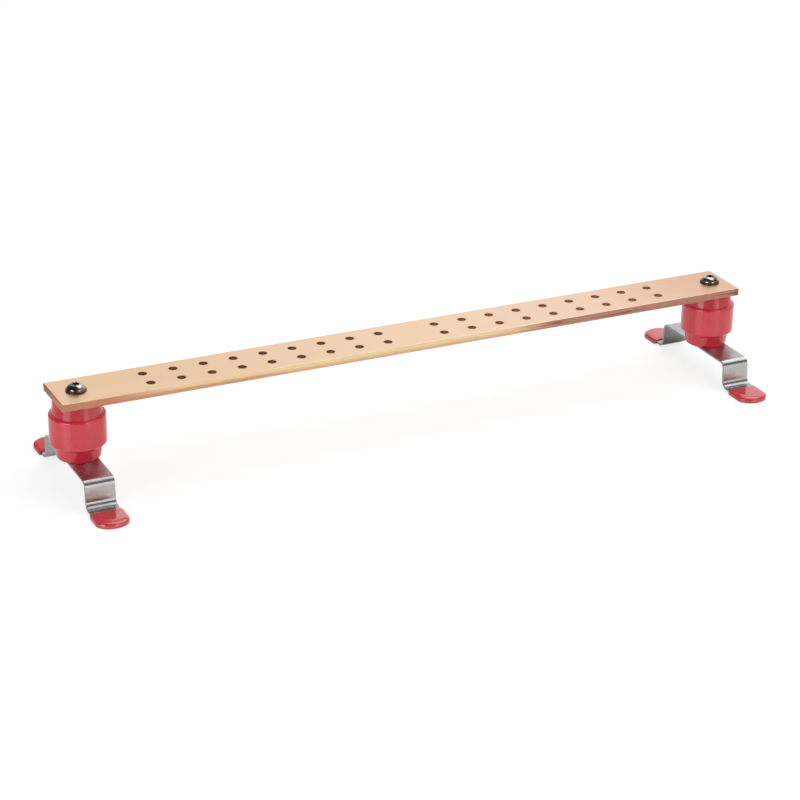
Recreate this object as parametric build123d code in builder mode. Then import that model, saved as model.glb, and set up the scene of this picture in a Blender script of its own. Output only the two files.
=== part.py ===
from build123d import *
from math import cos, radians, tan
import os

# Rack grounding busbar: a drilled copper bar on two standoff insulators, each on a hat-shaped
# steel strap whose feet are dipped in vinyl. Sizes are in millimetres. The origin is on the
# floor midway between the two insulators, with X along the bar, Y to the back and Z up.

# Copper bar
bar_width = 46.8
bar_thickness = 6.35
bar_edge_radius = 0.6
post_span = 572.0
bar_end_left = 18.8
bar_end_right = 15.0

# Lug holes, in pairs across the bar, with one pair left out in the middle
lug_hole_diameter = 7.14
lug_pitch = 25.4
lug_row_spacing = 19.05
lug_pairs_each_side = 9

# Standoff insulators
insulator_height = 48.3
neck_top_radius = 18.7
neck_base_radius = 20.0
neck_height = 11.4
drum_radius = 22.4
shoulder_radius = 1.8
base_height = 10.0
base_top_radius = 18.9
base_bottom_radius = 17.2
drum_chamfer = 2.0
drum_underside_rise = 0.6
mould_radius = 0.6

# Most that the two rounds on the drum's ledge may take of its width
shoulder_share = 0.75
crease_share = 0.2

# Threaded brass inserts
insert_radius = 6.5
insert_length = 14.0
insert_groove_depth = 0.8
insert_groove_width = 2.4
insert_gap = 0.1

# Screws and washers
screw_diameter = 7.9
thread_gap = 0.05
thread_engagement = 10.0
head_diameter = 14.6
head_height = 3.9
head_rim_height = 0.5
head_dome_radius = 5.0
head_crown_radius = 3.8
recess_radius = 3.3
recess_depth = 2.4
lobe_count = 6
lobe_flute_radius = 1.1
lobe_flute_bite = 1.0
washer_diameter = 16.6
washer_thickness = 1.4
washer_edge_radius = 0.6
screw_hole_clearance = 0.7
washer_hole_clearance = 0.4

# Strap brackets
strap_width = 24.3
strap_thickness = 2.0
strap_rise = 23.2
strap_edge_radius = 0.3
leg_reach = 48.8
leg_lean = 4.0
bare_foot = 8.2
capped_foot = 21.2
foot_corner_radius = 10.5
least_end_flat = 1.0
upper_bend_radius = 3.6
lower_bend_radius = 4.8

# Dipped foot caps
cap_wall = 1.6
cap_side_gap = 0.1
cap_edge_radius = 1.9
cap_mouth_radius = 1.2

# Levels, from the floor up
foot_bottom = cap_wall
foot_top = foot_bottom + strap_thickness
cap_top = foot_top + cap_wall
strap_top = foot_bottom + strap_rise
strap_underside = strap_top - strap_thickness
bar_bottom = strap_top + insulator_height
bar_top = bar_bottom + bar_thickness

# Places along the bar
bar_length = post_span + bar_end_left + bar_end_right
bar_middle = (bar_end_right - bar_end_left) / 2
posts = {"left": -post_span / 2, "right": post_span / 2}
block_offset = lug_pitch * (lug_pairs_each_side + 1) / 2

insert_bore_radius = insert_radius + insert_gap

# Places across the bar, from the middle of a strap to the tip of its foot
lean_slope = tan(radians(leg_lean))
knee_reach = leg_reach + (strap_top - foot_top) * lean_slope
bend_end = knee_reach + lower_bend_radius * tan(radians((90 - leg_lean) / 2))
cap_mouth = bend_end + bare_foot
foot_reach = cap_mouth + capped_foot
side_clearance = cap_side_gap + cap_wall
foot_corner = min(foot_corner_radius, (strap_width - least_end_flat) / 2, capped_foot)

os.makedirs("parts", exist_ok=True)


def save(piece, name):
    """Label a finished piece and write it to its own file."""
    piece.label = name
    export_step(piece, f"parts/{name}.step")


def upright(x, z):
    """The plane of a turned profile: radius to the right and height up, from a point on the axis."""
    return Plane(origin=(x, 0, z), x_dir=(1, 0, 0), z_dir=(0, -1, 0))


def hanging(x, z):
    """The same plane upside down, for what points to the floor."""
    return Plane(origin=(x, 0, z), x_dir=(1, 0, 0), z_dir=(0, 1, 0))


def vertical_axis(x):
    """The vertical axis through one post."""
    return Axis((x, 0, 0), (0, 0, 1))


def make_busbar():
    """The flat bar with rounded edges, its lug holes in pairs and a screw hole at each post."""
    with BuildPart() as busbar:
        with BuildSketch(Plane.XY.offset(bar_bottom)):
            with Locations((bar_middle, 0)):
                Rectangle(bar_length, bar_width)
        extrude(amount=bar_thickness)
        fillet(busbar.edges(), bar_edge_radius)
        with BuildSketch(Plane.XY.offset(bar_top)):
            with Locations((-block_offset, 0), (block_offset, 0)):
                with GridLocations(lug_pitch, lug_row_spacing, lug_pairs_each_side, 2):
                    Circle(lug_hole_diameter / 2)
            with Locations((posts["left"], 0), (posts["right"], 0)):
                Circle((screw_diameter + screw_hole_clearance) / 2)
        extrude(amount=-bar_thickness, mode=Mode.SUBTRACT)
    save(busbar.part, "busbar")


def make_insulator(name, x):
    """The turned standoff: tapered base, drum and neck, with a blind bore at each end."""
    drum_bottom = base_height + drum_underside_rise + drum_chamfer
    shoulder = insulator_height - neck_height
    outline = [
        (insert_bore_radius, 0),
        (base_bottom_radius, 0),
        (base_top_radius, base_height),
        (drum_radius - drum_chamfer, base_height + drum_underside_rise),
        (drum_radius, drum_bottom),
        (drum_radius, shoulder),
        (neck_base_radius, shoulder),
        (neck_top_radius, insulator_height),
        (insert_bore_radius, insulator_height),
    ]
    ledge = drum_radius - neck_base_radius
    soft = min(mould_radius, crease_share * ledge)
    soft_shoulder = min(shoulder_radius, shoulder_share * ledge)
    radii = [mould_radius, soft, soft, mould_radius, soft_shoulder, soft, mould_radius]
    with BuildPart() as insulator:
        with BuildSketch(upright(x, strap_top)):
            with BuildLine():
                FilletPolyline(*outline, radius=radii)
                Polyline(
                    (insert_bore_radius, insulator_height),
                    (insert_bore_radius, insulator_height - insert_length),
                    (0, insulator_height - insert_length),
                    (0, insert_length),
                    (insert_bore_radius, insert_length),
                    (insert_bore_radius, 0),
                )
            make_face()
        revolve(axis=vertical_axis(x))
    save(insulator.part, name)


def make_insert(name, x, bottom):
    """A threaded insert: a brass sleeve with one locking groove round its middle."""
    bore = screw_diameter / 2 + thread_gap
    with BuildPart() as insert:
        with BuildSketch(upright(x, bottom)):
            with Locations(((bore + insert_radius) / 2, insert_length / 2)):
                Rectangle(insert_radius - bore, insert_length)
            with Locations((insert_radius, insert_length / 2)):
                Rectangle(2 * insert_groove_depth, insert_groove_width, mode=Mode.SUBTRACT)
        revolve(axis=vertical_axis(x))
    save(insert.part, name)


def make_washer(name, x, bottom):
    """A plain round washer with softened rims."""
    bore = (screw_diameter + washer_hole_clearance) / 2
    with BuildPart() as washer:
        with BuildSketch(Plane(origin=(x, 0, bottom))):
            Circle(washer_diameter / 2)
            Circle(bore, mode=Mode.SUBTRACT)
        extrude(amount=washer_thickness)
        rims = washer.edges().filter_by(GeomType.CIRCLE).sort_by(SortBy.RADIUS)[-2:]
        fillet(rims, washer_edge_radius)
    save(washer.part, name)


def make_screw(name, x, seat, profile_plane, outward, clamped):
    """A domed screw: head outside the seat, shank through what it clamps and into the insert."""
    reach = washer_thickness + clamped + thread_engagement
    with BuildPart() as screw:
        with BuildSketch(profile_plane(x, seat)):
            with BuildLine():
                Polyline(
                    (0, head_height),
                    (0, -reach),
                    (screw_diameter / 2, -reach),
                    (screw_diameter / 2, 0),
                    (head_diameter / 2, 0),
                    (head_diameter / 2, head_rim_height),
                )
                RadiusArc(
                    (head_diameter / 2, head_rim_height),
                    (head_crown_radius, head_height),
                    -head_dome_radius,
                )
                Line((head_crown_radius, head_height), (0, head_height))
            make_face()
        revolve(axis=vertical_axis(x))
        crown = Plane(origin=(x, 0, seat + outward * head_height), x_dir=(1, 0, 0), z_dir=(0, 0, outward))
        with BuildSketch(crown):
            Circle(recess_radius)
            flute_centre = recess_radius - lobe_flute_bite + lobe_flute_radius
            with PolarLocations(flute_centre, lobe_count, start_angle=180 / lobe_count):
                Circle(lobe_flute_radius, mode=Mode.SUBTRACT)
        extrude(amount=-recess_depth, mode=Mode.SUBTRACT)
    save(screw.part, name)


def make_bracket(name, x):
    """The strap: one strip folded to foot, leg, top, leg and foot, with a screw hole on top."""
    inner_reach = leg_reach - strap_thickness / cos(radians(leg_lean))
    inner_knee = (inner_reach + (strap_top - foot_bottom) * lean_slope, foot_bottom)
    inner_shoulder = (inner_reach + strap_thickness * lean_slope, strap_underside)
    with BuildPart() as bracket:
        with BuildSketch(Plane(origin=(x, 0, 0), x_dir=(0, 1, 0), z_dir=(1, 0, 0))):
            with BuildLine():
                FilletPolyline(
                    (0, strap_top),
                    (leg_reach, strap_top),
                    (knee_reach, foot_top),
                    (foot_reach, foot_top),
                    radius=[upper_bend_radius + strap_thickness, lower_bend_radius],
                )
                Line((foot_reach, foot_top), (foot_reach, foot_bottom))
                FilletPolyline(
                    (foot_reach, foot_bottom),
                    inner_knee,
                    inner_shoulder,
                    (0, strap_underside),
                    radius=[lower_bend_radius + strap_thickness, upper_bend_radius],
                )
                Line((0, strap_underside), (0, strap_top))
            make_face()
            mirror(about=Plane.YZ)
        extrude(amount=strap_width / 2, both=True)
        ends = bracket.edges().filter_by(Axis.Z).group_by(Axis.Y)
        fillet(ends[0] + ends[-1], foot_corner)
        rims = bracket.faces().sort_by(Axis.X)[0].edges() + bracket.faces().sort_by(Axis.X)[-1].edges()
        fillet(rims, strap_edge_radius)
        with BuildSketch(Plane(origin=(x, 0, strap_top))):
            Circle((screw_diameter + screw_hole_clearance) / 2)
        extrude(amount=-strap_thickness, mode=Mode.SUBTRACT)
    save(bracket.part, name)


def foot_outline(width, start, end, corner, side):
    """The plan of a foot's end: straight sides and two large round corners, towards one side."""
    with Locations((0, side * (start + end) / 2)):
        outline = Rectangle(width, end - start)
    far = outline.vertices().sort_by(Axis.Y)
    fillet(far[-2:] if side > 0 else far[:2], corner)


def make_cap(name, x, side):
    """A dipped cap: a soft-edged sleeve, closed round the foot's end and open towards the leg."""
    with BuildPart() as cap:
        with BuildSketch(Plane(origin=(x, 0, 0))):
            foot_outline(strap_width + 2 * side_clearance, cap_mouth, foot_reach + side_clearance,
                         foot_corner + side_clearance, side)
        extrude(amount=cap_top)
        mouth_edges = cap.faces().sort_by(Axis.Y)[0 if side > 0 else -1].edges()
        fillet(cap.faces().filter_by(Plane.XY).edges() - mouth_edges, cap_edge_radius)
        fillet(cap.faces().sort_by(Axis.Y)[0 if side > 0 else -1].edges(), cap_mouth_radius)
        with BuildSketch(Plane(origin=(x, 0, foot_bottom))):
            foot_outline(strap_width + 2 * cap_side_gap, cap_mouth - cap_wall, foot_reach + cap_side_gap,
                         foot_corner + cap_side_gap, side)
        extrude(amount=strap_thickness, mode=Mode.SUBTRACT)
    save(cap.part, name)


make_busbar()
for side_name, post in posts.items():
    make_insulator(f"insulator_{side_name}", post)
    make_insert(f"insert_upper_{side_name}", post, bar_bottom - insert_length)
    make_insert(f"insert_lower_{side_name}", post, strap_top)
    make_washer(f"bar_washer_{side_name}", post, bar_top)
    make_screw(f"bar_screw_{side_name}", post, bar_top + washer_thickness, upright, 1, bar_thickness)
    make_bracket(f"bracket_{side_name}", post)
    make_washer(f"bracket_washer_{side_name}", post, strap_underside - washer_thickness)
    make_screw(f"bracket_screw_{side_name}", post, strap_underside - washer_thickness, hanging, -1,
               strap_thickness)
    make_cap(f"foot_cap_front_{side_name}", post, -1)
    make_cap(f"foot_cap_rear_{side_name}", post, 1)
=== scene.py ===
"""Looks and studio for a rack grounding busbar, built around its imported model.

Lengths are in metres, in the frame of the model: X along the bar, Y to the back, Z up, with the
origin on the floor midway between the two insulators.

Many of the constants are ramps. They hold what Nodes.ramp takes after its value: low and high,
or low, high, first and last.
"""

import bmesh
import bpy
import numpy as np
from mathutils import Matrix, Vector


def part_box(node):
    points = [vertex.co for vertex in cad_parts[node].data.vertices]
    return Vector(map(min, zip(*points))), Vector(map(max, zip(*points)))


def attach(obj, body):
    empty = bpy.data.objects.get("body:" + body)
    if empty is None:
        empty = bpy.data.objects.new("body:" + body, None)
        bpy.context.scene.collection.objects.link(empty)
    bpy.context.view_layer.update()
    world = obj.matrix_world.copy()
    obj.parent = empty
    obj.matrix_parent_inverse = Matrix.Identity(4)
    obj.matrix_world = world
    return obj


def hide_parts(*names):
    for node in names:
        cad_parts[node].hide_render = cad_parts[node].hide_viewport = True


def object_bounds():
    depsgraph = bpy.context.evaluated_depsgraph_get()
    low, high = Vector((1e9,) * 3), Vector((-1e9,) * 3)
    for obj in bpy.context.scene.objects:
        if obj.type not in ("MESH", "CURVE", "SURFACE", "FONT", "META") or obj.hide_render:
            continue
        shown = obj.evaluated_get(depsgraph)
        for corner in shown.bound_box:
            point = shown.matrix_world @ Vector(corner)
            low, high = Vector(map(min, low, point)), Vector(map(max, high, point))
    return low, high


bl_info = {
    "name": "Grounding Busbar Looks",
    "version": (1, 0, 0),
    "blender": (4, 5, 0),
    "location": "3D View > Sidebar > Busbar",
    "description": "Finishes a rack grounding busbar and sets up its studio",
    "category": "Object",
}

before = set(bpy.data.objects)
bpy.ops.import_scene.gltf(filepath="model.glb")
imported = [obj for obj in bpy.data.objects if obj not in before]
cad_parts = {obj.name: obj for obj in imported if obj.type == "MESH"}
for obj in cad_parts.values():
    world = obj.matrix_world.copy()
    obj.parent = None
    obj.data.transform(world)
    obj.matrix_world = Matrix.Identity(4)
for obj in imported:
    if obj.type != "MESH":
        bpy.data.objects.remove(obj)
cad_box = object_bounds()

SIDES = ("left", "right")
PANEL_TAB = "Busbar"

# Colour sockets of a Mix node, which has other sockets of the same names
MIX_FIRST, MIX_SECOND, MIX_RESULT = 6, 7, 2
# Points of a mesh that are closer than this are merged
TOUCHING = 1e-6
# How many points of a curve its turning draws, for each one that its length draws
TURN_WEIGHT = 2.0


# Helpers for materials

class Nodes:
    """A node tree, with short calls that add nodes and join them."""

    def __init__(self, tree):
        self.tree = tree

    def add(self, kind):
        """A new node of a kind."""
        return self.tree.nodes.new(f"ShaderNode{kind}")

    def join(self, value, socket):
        """Puts a number or colour on a socket, or joins another node's output to it."""
        if isinstance(value, bpy.types.NodeSocket):
            self.tree.links.new(value, socket)
        else:
            socket.default_value = value

    def math(self, operation, *values):
        """One operation on up to three numbers or outputs."""
        node = self.add("Math")
        node.operation = operation
        for value, socket in zip(values, node.inputs):
            self.join(value, socket)
        return node.outputs[0]

    def plus(self, first, second):
        """The sum of two numbers or outputs."""
        return self.math("ADD", first, second)

    def minus(self, first, second):
        """The first number or output less the second."""
        return self.math("SUBTRACT", first, second)

    def times(self, first, second):
        """The product of two numbers or outputs."""
        return self.math("MULTIPLY", first, second)

    def most(self, first, second):
        """The larger of two numbers or outputs."""
        return self.math("MAXIMUM", first, second)

    def size(self, value):
        """A number without its sign."""
        return self.math("ABSOLUTE", value)

    def above(self, value, limit):
        """1 where a number is above its limit, and 0 elsewhere."""
        return self.math("GREATER_THAN", value, limit)

    def below(self, value, limit):
        """1 where a number is below its limit, and 0 elsewhere."""
        return self.math("LESS_THAN", value, limit)

    def distance(self, first, second):
        """How far away a point is, from its distances along two directions."""
        squares = self.plus(self.times(first, first), self.times(second, second))
        return self.math("SQRT", squares)

    def split(self, vector):
        """The three parts of a vector."""
        node = self.add("SeparateXYZ")
        self.join(vector, node.inputs[0])
        return node.outputs

    def pack(self, *parts):
        """A vector from three numbers or outputs."""
        node = self.add("CombineXYZ")
        for part, socket in zip(parts, node.inputs):
            self.join(part, socket)
        return node.outputs[0]

    def scaled(self, vector, scale):
        """A vector with each part times its own number, which stretches a pattern."""
        node = self.add("VectorMath")
        node.operation = "MULTIPLY"
        self.join(vector, node.inputs[0])
        node.inputs[1].default_value = scale
        return node.outputs[0]

    def noise(self, vector, scale=1.0, detail=2.0, roughness=0.5, distortion=0.0):
        """Cloudy noise from 0 to 1, about 0.5 on average."""
        node = self.add("TexNoise")
        self.join(vector, node.inputs["Vector"])
        node.inputs["Scale"].default_value = scale
        node.inputs["Detail"].default_value = detail
        node.inputs["Roughness"].default_value = roughness
        node.inputs["Distortion"].default_value = distortion
        return node.outputs[0]

    def ramp(self, value, low, high, first=0.0, last=1.0):
        """A smooth step: first where value is at low, last where it is at high."""
        node = self.add("MapRange")
        node.interpolation_type = "SMOOTHSTEP"
        for number, socket in zip((value, low, high, first, last), node.inputs):
            self.join(number, socket)
        return node.outputs[0]

    def blend(self, share, first, second):
        """Two colours mixed by a share from 0 to 1."""
        node = self.add("Mix")
        node.data_type = "RGBA"
        self.join(share, node.inputs[0])
        for value, place in ((first, MIX_FIRST), (second, MIX_SECOND)):
            tint = value if isinstance(value, bpy.types.NodeSocket) else (*value, 1.0)
            self.join(tint, node.inputs[place])
        return node.outputs[MIX_RESULT]

    def relief(self, height, depth):
        """Bump from a height between 0 and 1, as deep as depth."""
        node = self.add("Bump")
        node.inputs["Strength"].default_value = 1.0
        node.inputs["Distance"].default_value = depth
        self.join(height, node.inputs["Height"])
        return node.outputs[0]


class Finish(Nodes):
    """One material: its nodes, its shader, and each point's place and the way it faces."""

    def __init__(self, name):
        self.material = bpy.data.materials.new(name)
        self.material.use_nodes = True
        super().__init__(self.material.node_tree)
        self.shader = self.tree.nodes["Principled BSDF"]
        point = self.add("TexCoord").outputs
        self.place = point["Object"]
        self.x, self.y, self.z = self.split(self.place)
        self.facing = point["Normal"]

    def set(self, **values):
        """Sets the shader's sockets by name, with _ for each space."""
        for name, value in values.items():
            self.join(value, self.shader.inputs[name.replace("_", " ")])
        return self.material


# Helpers for meshes and settings

def sampled(points, count):
    """Spreads points along a curve, closer where it turns: equal steps of length plus turning."""
    step = np.diff(points, axis=0)
    way = np.unwrap(np.arctan2(step[:, 1], step[:, 0]))
    run = np.linalg.norm(step, axis=1)
    turn = np.abs(np.diff(way, append=way[-1]))
    weight = run / run.sum() + TURN_WEIGHT * turn / turn.sum()
    total = np.concatenate([[0.0], np.cumsum(weight)])
    at = np.linspace(0.0, total[-1], count)
    return np.stack([np.interp(at, total, part) for part in points.T], axis=1)


def near(v, reach):
    """1 where v is 0, falling to 0 where it is at reach."""
    return 1.0 - np.clip(v / reach, 0.0, 1.0)


def solid(name, points, quads):
    """A closed, smooth mesh object from points and four-sided faces, with its seams merged."""
    mesh = bpy.data.meshes.new(name)
    mesh.from_pydata(points.tolist(), [], quads.tolist())
    work = bmesh.new()
    work.from_mesh(mesh)
    bmesh.ops.remove_doubles(work, verts=work.verts, dist=TOUCHING)
    bmesh.ops.dissolve_degenerate(work, edges=work.edges, dist=TOUCHING)
    bmesh.ops.recalc_face_normals(work, faces=work.faces)
    work.to_mesh(mesh)
    work.free()
    mesh.shade_smooth()
    piece = bpy.data.objects.new(name, mesh)
    bpy.context.scene.collection.objects.link(piece)
    return piece


def wear(name, material):
    """Gives one node of the model its finish."""
    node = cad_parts[name]
    for place in node.material_slots:
        place.material = material


def colour(name, text, value):
    """A colour that can be changed in the sidebar."""
    return bpy.props.FloatVectorProperty(
        name=name, description=text, subtype="COLOR", size=3, min=0.0, max=1.0, default=value)


def length(name, text, value):
    """A length that can be changed in the sidebar."""
    return bpy.props.FloatProperty(
        name=name, description=text, unit="LENGTH", min=0.0, precision=5, default=value)


def fraction(name, text, value):
    """A number from 0 to 1 that can be changed in the sidebar."""
    return bpy.props.FloatProperty(
        name=name, description=text, subtype="FACTOR", min=0.0, max=1.0, default=value)


# Sizes and colours

class BarSettings(bpy.types.PropertyGroup):
    """Copper of the bar and the layout of its lug holes."""

    tan: colour("Tan copper", "Rolled faces towards the left end", (0.80, 0.55, 0.345))
    pale: colour("Pale copper", "Rolled faces about the middle", (0.85, 0.625, 0.425))
    rose: colour("Rose copper", "Rolled faces towards the right end", (0.725, 0.457, 0.322))
    blush: colour("Pink cloud", "Pinker clouds on the rolled faces", (0.83, 0.595, 0.45))
    # Bright edge is painted sheen: it lightens the side faces about the middle of the bar, more
    # towards their top.
    edge_sheen: colour("Bright edge", "Edges where the shear has burnished them", (0.97, 0.74, 0.44))
    edge: colour("Sheared edge", "Edges towards the left end", (0.68, 0.285, 0.165))
    dusky: colour("Dusky edge", "Edges towards the right end", (0.56, 0.275, 0.20))
    stain: colour("Edge stain", "Dark marks on the sheared edges", (0.22, 0.085, 0.055))
    grime: colour("Grime", "Worn edges at the right end", (0.24, 0.20, 0.18))
    # The drilled walls are darkened as painted shade, for the shade inside the holes.
    bore_shade: colour("Drilled wall", "Inside of the holes towards the left end", (0.40, 0.24, 0.14))
    light_bore_shade: colour("Light drilled wall", "Inside of the holes towards the right end",
                       (0.62, 0.36, 0.24))
    pitch: length("Hole pitch", "Distance between hole pairs along the bar", 0.0254)
    rows: length("Row spacing", "Distance between the two rows of holes", 0.01905)
    hole: length("Hole radius", "Radius of the lug holes", 0.00357)
    grain: length("Grain depth", "Depth of the rolling grain", 0.000012)


class InsulatorSettings(bpy.types.PropertyGroup):
    """Moulded red polyester of the standoffs."""

    red: colour("Red", "Moulded body", (0.655, 0.024, 0.044))
    shade: colour("Deep red", "Clouds in the moulded body", (0.605, 0.019, 0.036))
    # Neck red is painted shade: the necks sit in the bar's shadow.
    neck_shade: colour("Neck red", "Necks under the bar", (0.45, 0.012, 0.028))
    peel: length("Surface ripple", "Depth of the moulded surface's ripple", 0.00002)


class StrapSettings(bpy.types.PropertyGroup):
    """Brushed stainless steel of the straps."""

    steel: colour("Steel", "Brushed faces", (0.56, 0.56, 0.555))
    dull: colour("Dull steel", "Darker brush lines and sheared edges", (0.38, 0.38, 0.378))
    # Dim steel is painted shade, for the shade under the right strap.
    leg_shade: colour("Dim steel", "Inner face of the right strap's rear leg", (0.22, 0.21, 0.21))
    # Pale steel is painted light, for the brighter reflection in the left strap's rear leg.
    pale: colour("Pale steel", "Inner face of the left strap's rear leg", (0.70, 0.66, 0.65))
    brush: length("Brush depth", "Depth of the brush lines", 0.000004)


class ScrewSettings(bpy.types.PropertyGroup):
    """Screws, washers and threaded inserts."""

    bright: colour("Screw steel", "Polished heads", (0.51, 0.465, 0.43))
    # Smoked steel is painted shade: the outer side of each head is darkened for the darker
    # reflections it shows.
    outer_shade: colour("Smoked steel", "Outer side of the heads, darker", (0.20, 0.15, 0.13))
    # Socket is painted shade, for the shade deep in the recess.
    socket: colour("Socket", "Inside of the heads' recess", (0.035, 0.03, 0.028))
    dark: colour("Washer steel", "Dark washers", (0.17, 0.09, 0.06))
    brass: colour("Brass", "Threaded inserts", (0.75, 0.55, 0.25))
    turning: length("Turning depth", "Depth of the turned rings", 0.000006)


class CapSettings(bpy.types.PropertyGroup):
    """Dipped vinyl caps on the feet."""

    red: colour("Vinyl red", "Dipped caps", (0.585, 0.040, 0.054))
    wave: length("Dip wave", "Depth of the waves left by dipping", 0.00010)
    wall: length("Side wall", "Thickness of the vinyl at the foot's sides", 0.00145)
    crown: length("Top wall", "Thickness of the vinyl over the foot", 0.0015)
    bead: length("Tip bead", "Extra thickness where the dip has run to the tip", 0.0002)
    lip: length("Lip", "Thickness of the vinyl at its open end", 0.0005)
    flare: length("Flare", "Length over which the lip grows to the full wall", 0.0035)
    ears: length("Mouth ears", "How much further the open end reaches at its sides", 0.0018)
    gape: length("Gape", "How far the open end stands off the steel", 0.0004)
    rounding: length("Tip rounding", "Length of the rounded tip", 0.0112)
    slack: length("Slack", "Clearance between the vinyl and the steel", 0.0001)
    strip: length("Strip thickness", "Thickness of the steel foot", 0.002)


class StudioSettings(bpy.types.PropertyGroup):
    """Floor, lamps and camera."""

    floor: colour("Floor", "Pale floor near the object", (0.92, 0.92, 0.92))
    # The far floor is painted shade, for the light falling off away from the object.
    far_floor: colour("Far floor", "Floor further away, as the object's gloss shows it",
                      (0.30, 0.30, 0.30))
    floor_size: length("Floor size", "Length of each side of the floor", 30.0)
    shadow: fraction("Shadow", "How much of the floor's shadow the camera sees", 0.28)
    room: fraction("Dark room", "How bright the room in front looks in reflections", 0.15)
    ambient: bpy.props.FloatProperty(
        name="Ambient", description="Level of the light from all round", min=0.0, default=0.66)
    lens: bpy.props.FloatProperty(
        name="Lens", description="Focal length of the camera", unit="CAMERA", default=108.04)


# Operators: finishes

class BUSBAR_OT_bar(bpy.types.Operator):
    """Finish the copper bar: cloudy rolled faces, darker sheared edges with painted sheen, and
    brown drilled walls darkened as painted shade
    """

    bl_idname = "busbar.bar"
    bl_label = "Finish Bar"

    # Pairs of lug holes on each side of the middle, and the ring of darker copper round each hole
    PAIRS = 9
    RING_WIDTH, RING_SHARE = 0.0012, 0.35
    # Further in from the bar's outline than this, only holes have walls
    MARGIN = 0.002
    # Edges, by how far a point faces up or down, and ends, by how far it faces along the bar
    ON_EDGE = (0.35, 0.85, 1.0, 0.0)
    ON_END = (0.5, 0.9)

    # Patterns: how each noise is stretched, and how it comes in
    CLOUD_STRETCH = (9.0, 22.0, 22.0)
    CLOUDS = (0.42, 0.72, 0.0, 0.5)
    SPOT_SCALE = 70.0
    SPOTS = (0.50, 0.75, 0.0, 0.3)
    MARK_STRETCH = (26.0, 60.0, 620.0)
    MARKS = (0.54, 0.68)
    STREAK_STRETCH = (14.0, 14.0, 1500.0)
    STREAKS = (0.55, 0.75, 0.0, 0.35)
    GRAIN_STRETCH = (25.0, 2600.0, 2600.0)
    ROUGHNESS = (0.2, 0.8, 0.30, 0.44)
    EDGE_ROUGHER = 0.08

    # Rolled faces, along X: pale by one place and rose from another, with a pink stretch
    PALE_BY = 0.06
    ROSE_FROM = 0.11
    PINK_COMES = (0.055, 0.105)
    PINK_GOES = (0.15, 0.22, 0.9, 0.0)
    # Edges, along X: the stretch of painted sheen, and where it grows deeper and brighter
    SHEEN_COMES = (-0.285, -0.195)
    SHEEN_GOES = (0.075, 0.125, 1.0, 0.0)
    SHEEN_GROWS = (-0.155, -0.105)
    # Before and after it has grown: the sheen's start above the underside, and its share there
    SHEEN_START = (0.0018, 0.0005)
    SHEEN_LEAST = (0.22, 0.42)
    # How far below the top the painted sheen is full
    SHEEN_FULL = 0.0015
    # Edges, along X: where they turn dusky, and how strong their marks are
    DUSKY = (0.06, 0.13)
    MARKED = (0.08, 0.13, 0.12, 0.75)
    # Darker ends: where the darkening comes in along Y, its depth, and its share below and at the
    # top
    END_DARK_COMES = (-0.012, 0.022)
    END_DARK_DEPTH = 0.005
    END_DARK = (0.33, 0.9)
    # Grime: how far from the right end it starts and is full, and its share there
    GRIME_START, GRIME_FULL = 0.0055, 0.002
    GRIME = (0.0, 0.8)
    # Holes, along X: where the painted shade on their walls grows lighter
    LIGHT_BORES = (-0.12, 0.20)

    def rings(self, f, look):
        """1 at each lug hole's edge, falling to 0 over the ring round it."""
        across = f.minus(f.size(f.y), look.rows / 2)
        along = f.math("WRAP", f.x, look.pitch / 2, -look.pitch / 2)
        out = f.size(f.x)
        drilled = f.times(f.above(out, look.pitch / 2),
                          f.below(out, look.pitch * (self.PAIRS + 0.5)))
        return f.times(drilled, f.ramp(f.distance(along, across), look.hole,
                                       look.hole + self.RING_WIDTH, 1.0, 0.0))

    def rolled(self, f, look, low, high):
        """Tint of the rolled faces: tan, pale, then rose along the bar, with clouds and spots."""
        clouds = f.noise(f.scaled(f.place, self.CLOUD_STRETCH), detail=3.0, distortion=0.6)
        spots = f.noise(f.place, self.SPOT_SCALE, detail=4.0)
        tint = f.blend(f.ramp(f.x, low.x, self.PALE_BY), look.tan, look.pale)
        tint = f.blend(f.ramp(f.x, self.ROSE_FROM, high.x), tint, look.rose)
        pink = f.times(f.ramp(f.x, *self.PINK_COMES), f.ramp(f.x, *self.PINK_GOES))
        tint = f.blend(f.most(pink, f.ramp(clouds, *self.CLOUDS)), tint, look.blush)
        tint = f.blend(f.ramp(spots, *self.SPOTS), tint, look.tan)
        return f.blend(f.times(self.rings(f, look), self.RING_SHARE), tint, look.edge)

    def sheared(self, f, look, low, high):
        """Tint of the edges: painted sheen about the middle, lighter towards the top, with marks,
        streaks and dark ends.
        """
        # Painted sheen: the side faces are lighter about the middle of the bar, more towards their
        # top.
        sheen = f.times(f.ramp(f.x, *self.SHEEN_COMES), f.ramp(f.x, *self.SHEEN_GOES))
        start = f.ramp(f.x, *self.SHEEN_GROWS, *(low.z + part for part in self.SHEEN_START))
        least = f.ramp(f.x, *self.SHEEN_GROWS, *self.SHEEN_LEAST)
        climb = f.ramp(f.z, start, high.z - self.SHEEN_FULL, least, 1.0)
        tint = f.blend(f.ramp(f.x, *self.DUSKY), look.edge, look.dusky)
        tint = f.blend(f.times(sheen, climb), tint, look.edge_sheen)
        streaks = f.noise(f.scaled(f.place, self.STREAK_STRETCH), detail=2.0)
        tint = f.blend(f.ramp(streaks, *self.STREAKS), tint, look.blush)
        marks = f.noise(f.scaled(f.place, self.MARK_STRETCH), detail=3.0, distortion=0.6)
        marks = f.times(f.ramp(marks, *self.MARKS), f.ramp(f.x, *self.MARKED))
        tint = f.blend(marks, tint, look.stain)
        ends = f.ramp(f.size(f.split(f.facing)[0]), *self.ON_END)
        # The end faces turn darker towards the back and the top.
        end_dark = f.times(f.ramp(f.y, *self.END_DARK_COMES),
                         f.ramp(f.z, high.z - self.END_DARK_DEPTH, high.z, *self.END_DARK))
        tint = f.blend(f.times(ends, end_dark), tint, look.stain)
        grime = f.ramp(f.x, high.x - self.GRIME_START, high.x - self.GRIME_FULL, *self.GRIME)
        return f.blend(grime, tint, look.grime)

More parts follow.
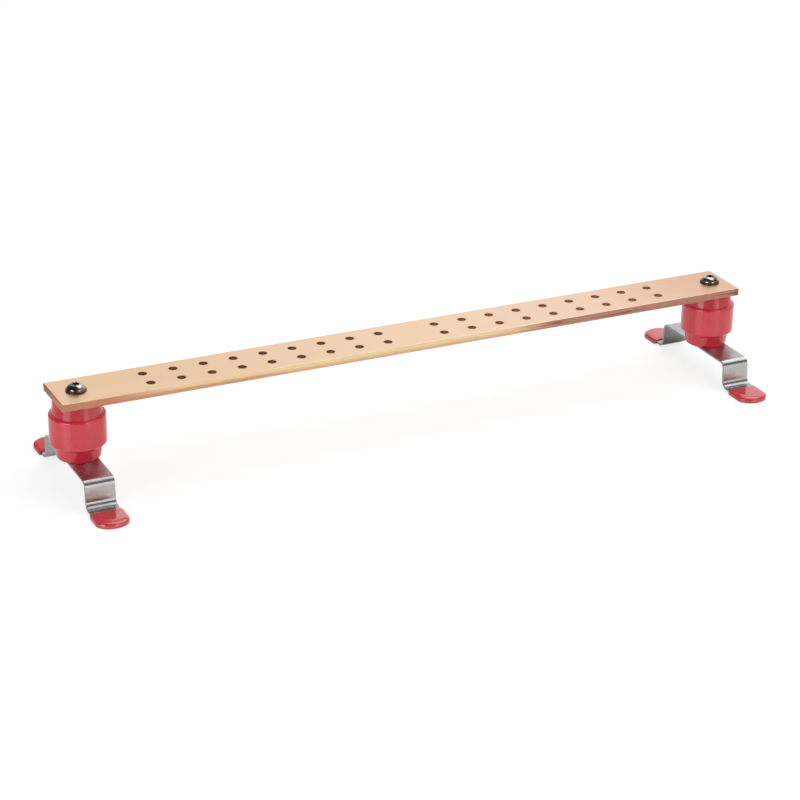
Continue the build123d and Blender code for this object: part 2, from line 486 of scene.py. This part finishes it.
    def execute(self, context):
        look = context.scene.busbar_bar
        low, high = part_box("busbar")
        f = Finish("rolled copper")
        on_edge = f.ramp(f.size(f.split(f.facing)[2]), *self.ON_EDGE)
        inside = f.times(f.below(f.size(f.y), high.y - self.MARGIN),
                         f.times(f.above(f.x, low.x + self.MARGIN),
                                 f.below(f.x, high.x - self.MARGIN)))
        tint = f.blend(on_edge, self.rolled(f, look, low, high), self.sheared(f, look, low, high))
        # Painted shade: the walls of the holes are darkened for the shade inside them, lighter
        # towards the right.
        bore_shade_tint = f.blend(f.ramp(f.x, *self.LIGHT_BORES), look.bore_shade, look.light_bore_shade)
        tint = f.blend(f.times(on_edge, inside), tint, bore_shade_tint)
        grain = f.noise(f.scaled(f.place, self.GRAIN_STRETCH), detail=3.0, roughness=0.6)
        rough = f.plus(f.ramp(grain, *self.ROUGHNESS), f.times(on_edge, self.EDGE_ROUGHER))
        wear("busbar", f.set(Base_Color=tint, Metallic=1.0, Roughness=rough,
                             Normal=f.relief(grain, look.grain)))
        return {"FINISHED"}


class BUSBAR_OT_insulators(bpy.types.Operator):
    """Finish the two standoff insulators: glossy red polyester with a faint moulded ripple"""

    bl_idname = "busbar.insulators"
    bl_label = "Finish Insulators"

    CLOUD_SCALE = 60.0
    CLOUDS = (0.35, 0.7)
    RIPPLE_SCALE = 420.0
    ROUGHNESS = (0.3, 0.7, 0.14, 0.19)
    SPECULAR = 0.95
    # The neck's height, the height over which its painted shade comes in, and its share
    NECK, NECK_FADE, NECK_SHARE = 0.0107, 0.001, 0.42

    def execute(self, context):
        look = context.scene.busbar_insulators
        f = Finish("moulded red polyester")
        clouds = f.noise(f.place, self.CLOUD_SCALE, detail=4.0)
        ripple = f.noise(f.place, self.RIPPLE_SCALE, detail=2.0)
        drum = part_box("insulator_left")[1].z - self.NECK
        # Painted shade: the neck under the bar is darkened, for the bar's shadow on it.
        neck_shade = f.ramp(f.z, drum - self.NECK_FADE, drum, 0.0, self.NECK_SHARE)
        red = f.blend(f.ramp(clouds, *self.CLOUDS), look.red, look.shade)
        polyester = f.set(Base_Color=f.blend(neck_shade, red, look.neck_shade),
                          Roughness=f.ramp(clouds, *self.ROUGHNESS),
                          Normal=f.relief(ripple, look.peel), Specular_IOR_Level=self.SPECULAR)
        for side in SIDES:
            wear(f"insulator_{side}", polyester)
        return {"FINISHED"}


class BUSBAR_OT_straps(bpy.types.Operator):
    """Finish the two straps: stainless steel brushed along the strip, duller on its cut edges"""

    bl_idname = "busbar.straps"
    bl_label = "Finish Straps"

    LINE_STRETCH = (1900.0, 28.0, 28.0)
    LINES = (0.35, 0.75, 0.0, 0.4)
    PATCH_STRETCH = (260.0, 60.0, 60.0)
    ROUGHNESS = (0.3, 0.7, 0.27, 0.33)
    # Cut edges: how far they face along the bar, how dull they are, and how much rougher
    ON_CUT = (0.5, 0.9)
    CUT_SHARE, CUT_ROUGHER = 0.5, 0.2
    # Rear legs' inner faces: how far they face forwards, their least Y, and painted shade by
    # height
    FORWARDS = (-0.9, -0.5, 1.0, 0.0)
    REAR = 0.03
    LEG_SHADE_BY_HEIGHT = (0.003, 0.021, 1.0, 0.6)
    # The gloss spreads along the tangent, which is close to X, and is sharper along the strip
    ANISOTROPY = 0.85
    TANGENT = (1.0, 0.03, 0.03)

    def execute(self, context):
        look = context.scene.busbar_straps
        f = Finish("brushed stainless")
        facing = f.split(f.facing)
        cut = f.ramp(f.size(facing[0]), *self.ON_CUT)
        lines = f.noise(f.scaled(f.place, self.LINE_STRETCH), detail=4.0, roughness=0.65)
        patches = f.noise(f.scaled(f.place, self.PATCH_STRETCH), detail=3.0)
        steel = f.blend(f.ramp(lines, *self.LINES), look.steel, look.dull)
        steel = f.blend(f.times(cut, self.CUT_SHARE), steel, look.dull)
        inner = f.times(f.ramp(facing[1], *self.FORWARDS), f.above(f.y, self.REAR))
        # Painted shade: the inner face of the right strap's rear leg is darkened, for the shade
        # under the strap.
        leg_shade = f.times(f.times(inner, f.ramp(f.z, *self.LEG_SHADE_BY_HEIGHT)), f.above(f.x, 0.0))
        steel = f.blend(leg_shade, steel, look.leg_shade)
        # Painted light: the inner face of the left strap's rear leg is lightened, for the brighter
        # reflection it shows.
        steel = f.blend(f.times(inner, f.below(f.x, 0.0)), steel, look.pale)
        rough = f.plus(f.ramp(patches, *self.ROUGHNESS), f.times(cut, self.CUT_ROUGHER))
        stainless = f.set(Base_Color=steel, Metallic=1.0, Roughness=rough,
                          Normal=f.relief(lines, look.brush),
                          Anisotropic=self.ANISOTROPY, Tangent=f.pack(*self.TANGENT))
        for side in SIDES:
            wear(f"bracket_{side}", stainless)
        return {"FINISHED"}


class BUSBAR_OT_fasteners(bpy.types.Operator):
    """Finish the screws, washers and inserts: steel and brass with turned rings"""

    bl_idname = "busbar.fasteners"
    bl_label = "Finish Fasteners"

    # Name, the setting of its colour, its least roughness, whether it has a recess, and pieces
    FINISHES = (
        ("polished screw steel", "bright", 0.10, True, ("bar_screw", "bracket_screw")),
        ("dark washer steel", "dark", 0.36, False, ("bar_washer", "bracket_washer")),
        ("turned brass", "brass", 0.24, False, ("insert_upper", "insert_lower")),
    )
    # The recess's radius, and how far under the crown its painted shade starts
    RECESS, UNDER = 0.0034, 0.00005
    # Painted shade on the outer side of the heads, by the distance past the post's axis
    OUTER = (-0.0025, 0.0025, 0.0, 0.85)
    # Turned rings: their scale, and how much they change along Z
    RING_SCALE, RING_CLIMB = 5200.0, 0.6
    # Stain: its scale, how it comes in, how dark it is, and where and how much it is rougher
    STAIN_SCALE = 900.0
    STAIN = (0.45, 0.8, 0.0, 0.7)
    STAIN_DARK = 0.7
    ROUGHENED, ROUGHER = (0.3, 0.8), 0.12

    def past(self, f):
        """How far a point lies past its post's axis, towards the end of the bar."""
        low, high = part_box("insulator_right")
        return f.minus(f.size(f.x), (low.x + high.x) / 2)

    def recess(self, f, reach):
        """1 inside the recesses of the heads, from just under their crowns, and 0 elsewhere."""
        low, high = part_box("bracket_screw_right")[0].z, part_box("bar_screw_right")[1].z
        deep = f.times(f.above(f.z, low + self.UNDER), f.below(f.z, high - self.UNDER))
        return f.times(deep, f.below(reach, self.RECESS))

    def execute(self, context):
        look = context.scene.busbar_screws
        for name, setting, rough, recessed, pieces in self.FINISHES:
            f = Finish(name)
            past = self.past(f)
            reach = f.distance(past, f.y)
            rings = f.noise(f.pack(reach, f.times(f.z, self.RING_CLIMB), 0.0), self.RING_SCALE,
                            detail=2.0)
            stain = f.noise(f.place, self.STAIN_SCALE, detail=3.0)
            tint = getattr(look, setting)
            shaded = tuple(part * self.STAIN_DARK for part in tint)
            tint = f.blend(f.ramp(stain, *self.STAIN), tint, shaded)
            if recessed:
                # Painted shade: the outer side of each head is darkened, for the darker
                # reflections there.
                tint = f.blend(f.ramp(past, *self.OUTER), tint, look.outer_shade)
                # Painted shade: the recess of each head is darkened nearly to black, for the shade
                # inside it.
                tint = f.blend(self.recess(f, reach), tint, look.socket)
            metal = f.set(Base_Color=tint, Metallic=1.0,
                          Roughness=f.ramp(stain, *self.ROUGHENED, rough, rough + self.ROUGHER),
                          Normal=f.relief(rings, look.turning))
            for piece in pieces:
                for side in SIDES:
                    wear(f"{piece}_{side}", metal)
        return {"FINISHED"}


class BUSBAR_OT_caps(bpy.types.Operator):
    """Make the four foot caps: soft sleeves of glossy red vinyl, slightly uneven from dipping"""

    bl_idname = "busbar.caps"
    bl_label = "Make Foot Caps"

    # Name of each cap's place, how far its mouth reaches up the foot, its coat and its gloss
    # The coats and glosses differ from cap to cap as painted reflection.
    CAPS = (
        ("front_left", 0.0012, 1.0, 0.6),
        ("front_right", 0.0021, 0.85, 0.35),
        ("rear_left", 0.0023, 0.0, 0.2),
        ("rear_right", 0.0023, 0.8, 0.5),
    )
    # Points round the plan and along half a section
    AROUND, ACROSS = 121, 45
    # How finely the curves are drawn before their points are spread
    TIP_STEPS, SIDE_STEPS, SECTION_STEPS = 400, 200, 1200
    # Powers of the superellipses: the tip's plan, the section above and below, and the slot's
    ROUND = 2.1
    SOFT_TOP, SOFT_BELOW = 4.6, 5.0
    SQUARE = 60.0
    # Height of the widest line, as a share of the section's: the outer skin's and the slot's
    WIDEST, MIDWAY = 0.15, 0.5
    # How much longer than its height a section counts as when its points are spread
    BROAD = 5.0
    # Lengths of the gape and the ears, in flares
    GAPE_RUN, EAR_RUN = 2.0, 3.0
    # Powers by which the gape, the ears and the bead grow
    GAPE_POWER, EAR_POWER, BEAD_POWER = 2, 3, 3
    # The vinyl: its waves, and its depth, where the red is deeper and the surface rougher
    WAVE_SCALE, DEPTH_SCALE = 110.0, 240.0
    DEPTH = (0.4, 0.7)
    DEEPER = 0.82
    ROUGHNESS = (0.3, 0.7, 0.10, 0.16)
    COAT_ROUGHNESS = 0.06

    def outline(self, half, straight, tip):
        """Plan of a foot's end: straight sides, then a rounded end to the power of ROUND.

        The end's width falls as a power of the cosine while its length grows as the same power
        of the sine.
        """
        turn = np.linspace(0.0, np.pi, self.TIP_STEPS)
        power = 2.0 / self.ROUND
        end = np.stack([-half * np.sign(np.cos(turn)) * np.abs(np.cos(turn)) ** power,
                        straight + (tip - straight) * np.sin(turn) ** power], axis=1)
        side = np.linspace(0.0, straight, self.SIDE_STEPS, endpoint=False)
        left = np.stack([np.full_like(side, -half), side], axis=1)
        return sampled(np.concatenate([left, end, left[::-1] * (-1.0, 1.0)]), self.AROUND)

    def profile(self, top_power, low_power):
        """Half a section: share of the way out and share of the height, as a superellipse.

        Each is a power of the cosine or the sine, with one power above the widest line and
        another below it.
        """
        turn = np.linspace(-np.pi / 2, np.pi / 2, self.SECTION_STEPS)
        power = 2.0 / np.where(turn > 0, top_power, low_power)
        reach = np.abs(np.cos(turn)) ** power
        climb = np.sign(turn) * np.abs(np.sin(turn)) ** power
        points = sampled(np.stack([reach * self.BROAD, climb], axis=1), self.ACROSS)
        return points / (self.BROAD, 1.0)

    def skin(self, plan, profile, straight, top, low, widest, grow):
        """A closed-ended skin: the profile runs from the plan's outline in to its middle line.

        top, low and grow give its height, its underside and its share of the full width at each
        length from the mouth.
        """
        middle = np.minimum(plan[:, 1], straight)
        u = plan[:, None, 0] * profile[None, :, 0]
        v = middle[:, None] + (plan[:, 1] - middle)[:, None] * profile[None, :, 0]
        high, deep = top(v), low(v)
        level = deep + widest * (high - deep)
        climb = profile[None, :, 1]
        w = level + np.where(climb > 0, high - level, level - deep) * climb
        return np.stack([u * grow(v), v, w], axis=2)

    def cap(self, name, look, side, place, mouth, tip, strip_half, strip_tip, strip_low):
        """One cap: the soft outer skin and the slot round the foot, joined by the lip."""
        length_out, length_in = tip - mouth, strip_tip + look.slack - mouth
        half_out, half_in = strip_half + look.wall, strip_half + look.slack
        strip_top = strip_low + look.strip
        thin = look.lip / look.wall

        def full(v):
            """Share of the wall's thickness: the lip's, growing as a quarter of an ellipse."""
            return thin + (1.0 - thin) * np.sqrt(1.0 - near(v, look.flare) ** 2)

        def stand(v):
            """How far the vinyl stands off the steel."""
            return look.gape * near(v, self.GAPE_RUN * look.flare) ** self.GAPE_POWER

        def swell(v):
            """Extra thickness of the bead towards the tip."""
            return look.bead * np.clip(v / length_out, 0.0, 1.0) ** self.BEAD_POWER

        outer_straight = length_out - look.rounding
        outer = self.skin(
            self.outline(half_out, outer_straight, length_out),
            self.profile(self.SOFT_TOP, self.SOFT_BELOW), outer_straight,
            lambda v: strip_top + look.crown * full(v) + swell(v) + stand(v),
            lambda v: strip_low * (1.0 - full(v)), self.WIDEST,
            lambda v: (strip_half + look.wall * full(v)) / half_out)
        inner_straight = length_in - look.rounding
        inner = self.skin(
            self.outline(half_in, inner_straight, length_in),
            self.profile(self.SQUARE, self.SQUARE), inner_straight,
            lambda v: strip_top + stand(v), lambda v: np.full_like(v, strip_low), self.MIDWAY,
            np.ones_like)

        points = np.concatenate([outer.reshape(-1, 3), inner.reshape(-1, 3)])
        sideways = (np.abs(points[:, 0]) / half_out) ** self.EAR_POWER
        points[:, 1] -= look.ears * sideways * near(points[:, 1], self.EAR_RUN * look.flare)
        index = np.arange(self.AROUND * self.ACROSS).reshape(self.AROUND, self.ACROSS)
        within = index + index.size
        faces = [np.stack([grid[:-1, :-1], grid[1:, :-1], grid[1:, 1:], grid[:-1, 1:]], axis=2)
                 for grid in (index, within)]
        lips = [np.stack([index[row, :-1], index[row, 1:], within[row, 1:], within[row, :-1]],
                         axis=1) for row in (0, -1)]
        quads = np.concatenate([face.reshape(-1, 4) for face in faces + lips])
        placed = np.stack([place + points[:, 0], side * (mouth + points[:, 1]), points[:, 2]],
                          axis=1)
        return solid(name, placed, quads)

    def vinyl(self, look, where, coat, gloss):
        """Red vinyl with its coat and gloss, which differ from cap to cap as painted reflection:
        caps that show less reflection are made duller.
        """
        f = Finish(f"dipped red vinyl {where}")
        wave = f.noise(f.place, self.WAVE_SCALE, detail=1.0)
        depth = f.noise(f.place, self.DEPTH_SCALE, detail=3.0)
        deep = tuple(part * self.DEEPER for part in look.red)
        return f.set(
            Base_Color=f.blend(f.ramp(depth, *self.DEPTH), look.red, deep),
            Roughness=f.ramp(depth, *self.ROUGHNESS),
            Normal=f.relief(wave, look.wave), Specular_IOR_Level=gloss,
            Coat_Weight=coat, Coat_Roughness=self.COAT_ROUGHNESS)

    def execute(self, context):
        look = context.scene.busbar_caps
        for where, creep, coat, gloss in self.CAPS:
            end, side = where.split("_")
            node = f"foot_cap_{where}"
            low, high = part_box(node)
            strap_low, strap_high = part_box(f"bracket_{side}")
            mouth, tip = sorted((abs(low.y), abs(high.y)))
            piece = self.cap(f"dipped_cap_{where}", look, -1.0 if end == "front" else 1.0,
                             (low.x + high.x) / 2, mouth - creep, tip,
                             (strap_high.x - strap_low.x) / 2, strap_high.y, strap_low.z)
            piece.data.materials.append(self.vinyl(look, where, coat, gloss))
            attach(piece, "root")
            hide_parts(node)
        return {"FINISHED"}


# Operator: stage

class BUSBAR_OT_studio(bpy.types.Operator):
    """Set up the white floor, the soft lamps and the camera"""

    bl_idname = "busbar.studio"
    bl_label = "Set Up Studio"

    # Name, place, what it faces, width, height, power in watts and whether gloss shows it
    LAMPS = (
        ("left soft box", (-3.0, -1.25, 0.75), (-0.1, 0.0, 0.05), 1.8, 1.4, 30.0, True),
        ("right soft box", (0.77, -2.4, 0.45), (0.1, 0.0, 0.05), 0.95, 0.9, 5.8, True),
        ("top soft box", (0.95, 0.15, 2.15), (0.1, 0.0, 0.05), 2.4, 1.6, 20.0, True),
        ("fill", (1.9, -1.6, 1.3), (0.0, 0.0, 0.05), 1.6, 1.6, 6.0, False),
    )
    CAMERA_PLACE = (-0.80119, -1.62254, 0.82604)
    CAMERA_TURN = (1.151420, -0.013929, -0.447840)
    SENSOR_WIDTH, CLIP_START, CLIP_END = 36.0, 0.01, 100.0

    # The dark room that gloss shows: the way to its middle, how its edge leans with height, and
    # that edge, by the cosine of the angle to its middle
    ROOM_SIDE = (-0.44, -0.90, 0.0)
    ROOM_LEAN = -0.4
    ROOM_EDGE = (-0.85, -0.5)
    # The height over which the room darkens, and how many times as bright it is below
    ROOM_HEIGHT = (0.25, 0.6)
    ROOM_LOW = 3.0
    # From left to right: how bright gloss shows each side, and how the plain light grows
    GLOSS_SIDES = (-0.3, 0.12, 0.25, 1.0)
    AMBIENT_SIDES = (-0.9, 0.9)
    AMBIENT_LEFT, AMBIENT_RIGHT = 0.8, 1.2

    # Away from the object: where the floor turns to the far floor, a painted falloff of the light
    FAR = (0.12, 0.38)
    FLOOR_ROUGHNESS, FLOOR_SPECULAR = 0.12, 0.5
    # Light added to the floor as the camera sees it, so that it's white outside the shadow
    FLOOR_LIFT = 0.04

    def backdrop(self, scene, look):
        """White to the camera and in gloss, apart from a darker room in front, and plain light."""
        world = bpy.data.worlds.new("white backdrop")
        scene.world = world
        world.use_nodes = True
        f = Nodes(world.node_tree)
        f.tree.nodes.clear()
        way = f.add("TexCoord").outputs["Generated"]
        x, _, z = f.split(way)
        path = f.add("LightPath").outputs
        gloss = path["Is Glossy Ray"]
        toward = f.add("VectorMath")
        toward.operation = "DOT_PRODUCT"
        f.join(way, toward.inputs[0])
        toward.inputs[1].default_value = self.ROOM_SIDE
        lean = f.times(z, self.ROOM_LEAN)
        room = f.times(f.ramp(f.plus(toward.outputs["Value"], lean), *self.ROOM_EDGE), gloss)
        dark = f.ramp(z, *self.ROOM_HEIGHT, look.room * self.ROOM_LOW, look.room)
        white = f.times(f.ramp(room, 0.0, 1.0, 1.0, dark),
                        f.ramp(gloss, 0.0, 1.0, 1.0, f.ramp(x, *self.GLOSS_SIDES)))
        shown = f.most(f.most(path["Is Camera Ray"], gloss), path["Is Transmission Ray"])
        soft = f.ramp(x, *self.AMBIENT_SIDES, look.ambient * self.AMBIENT_LEFT,
                      look.ambient * self.AMBIENT_RIGHT)
        level = f.plus(f.times(shown, white), f.times(f.minus(1.0, shown), soft))
        light = f.add("Background")
        light.inputs["Color"].default_value = (1.0, 1.0, 1.0, 1.0)
        f.join(level, light.inputs["Strength"])
        f.join(light.outputs[0], f.add("OutputWorld").inputs[0])

    def floor(self, scene, look):
        """One square: a glossy pale floor, which the camera sees as white with a soft shadow."""
        half = look.floor_size / 2
        corners = np.array([(-1, -1, 0), (1, -1, 0), (1, 1, 0), (-1, 1, 0)]) * half
        mesh = bpy.data.meshes.new("floor")
        mesh.from_pydata(corners.tolist(), [], [(0, 1, 2, 3)])
        floor = bpy.data.objects.new("floor", mesh)
        scene.collection.objects.link(floor)
        f = Finish("pale floor")
        away = f.distance(*(f.most(f.minus(f.size(part), edge), 0.0)
                            for part, edge in zip((f.x, f.y), cad_box[1])))
        f.set(Base_Color=f.blend(f.ramp(away, *self.FAR), look.floor, look.far_floor),
              Roughness=self.FLOOR_ROUGHNESS, Specular_IOR_Level=self.FLOOR_SPECULAR)
        shade = f.add("BsdfDiffuse")
        shade.inputs["Color"].default_value = (look.shadow, look.shadow, look.shadow, 1.0)
        glow = f.add("Emission")
        glow.inputs["Strength"].default_value = 1.0 - look.shadow + self.FLOOR_LIFT
        both = f.add("AddShader")
        f.join(shade.outputs[0], both.inputs[0])
        f.join(glow.outputs[0], both.inputs[1])
        seen = f.add("MixShader")
        f.join(f.add("LightPath").outputs["Is Camera Ray"], seen.inputs[0])
        f.join(f.shader.outputs[0], seen.inputs[1])
        f.join(both.outputs[0], seen.inputs[2])
        f.join(seen.outputs[0], f.tree.nodes["Material Output"].inputs[0])
        mesh.materials.append(f.material)

    def lamp(self, scene, name, place, aim, width, height, power, in_gloss):
        """A soft box at a place, turned to what it lights."""
        data = bpy.data.lights.new(name, "AREA")
        data.shape = "RECTANGLE"
        data.size, data.size_y = width, height
        data.energy = power
        lamp = bpy.data.objects.new(name, data)
        scene.collection.objects.link(lamp)
        lamp.location = place
        lamp.visible_glossy = in_gloss
        lamp.rotation_mode = "QUATERNION"
        lamp.rotation_quaternion = (Vector(aim) - Vector(place)).to_track_quat("-Z", "Y")

    def camera(self, scene, look):
        """The camera, at the photograph's place and angle."""
        data = bpy.data.cameras.new("camera")
        data.sensor_width = self.SENSOR_WIDTH
        data.lens = look.lens
        data.clip_start, data.clip_end = self.CLIP_START, self.CLIP_END
        camera = bpy.data.objects.new("camera", data)
        scene.collection.objects.link(camera)
        camera.location = self.CAMERA_PLACE
        camera.rotation_euler = self.CAMERA_TURN
        scene.camera = camera

    def execute(self, context):
        scene = context.scene
        look = scene.busbar_studio
        scene.view_settings.view_transform = "Standard"
        self.backdrop(scene, look)
        self.floor(scene, look)
        for lamp in self.LAMPS:
            self.lamp(scene, *lamp)
        self.camera(scene, look)
        return {"FINISHED"}


# Panel and registration

class BUSBAR_PT_looks(bpy.types.Panel):
    """Sidebar panel with the sizes, the colours and one button for each step."""

    bl_idname = "BUSBAR_PT_looks"
    bl_label = "Busbar Looks"
    bl_space_type = "VIEW_3D"
    bl_region_type = "UI"
    bl_category = PANEL_TAB

    def draw(self, context):
        for step, name, group in STEPS:
            box = self.layout.box()
            for setting in group.__annotations__:
                box.prop(getattr(context.scene, name), setting)
            box.operator(step.bl_idname)


# Each step's operator, the name of its settings in a scene, and their group
STEPS = (
    (BUSBAR_OT_bar, "busbar_bar", BarSettings),
    (BUSBAR_OT_insulators, "busbar_insulators", InsulatorSettings),
    (BUSBAR_OT_straps, "busbar_straps", StrapSettings),
    (BUSBAR_OT_fasteners, "busbar_screws", ScrewSettings),
    (BUSBAR_OT_caps, "busbar_caps", CapSettings),
    (BUSBAR_OT_studio, "busbar_studio", StudioSettings),
)


def register():
    """Adds the classes, and the settings to every scene."""
    for step, name, group in STEPS:
        bpy.utils.register_class(group)
        bpy.utils.register_class(step)
        setattr(bpy.types.Scene, name, bpy.props.PointerProperty(type=group))
    bpy.utils.register_class(BUSBAR_PT_looks)


def unregister():
    """Takes the settings and the classes away again."""
    bpy.utils.unregister_class(BUSBAR_PT_looks)
    for step, name, group in reversed(STEPS):
        delattr(bpy.types.Scene, name)
        bpy.utils.unregister_class(step)
        bpy.utils.unregister_class(group)


def main():
    """Runs every step in order."""
    register()
    for step, name, group in STEPS:
        family, call = step.bl_idname.split(".")
        getattr(getattr(bpy.ops, family), call)()


if __name__ == "__main__":
    main()
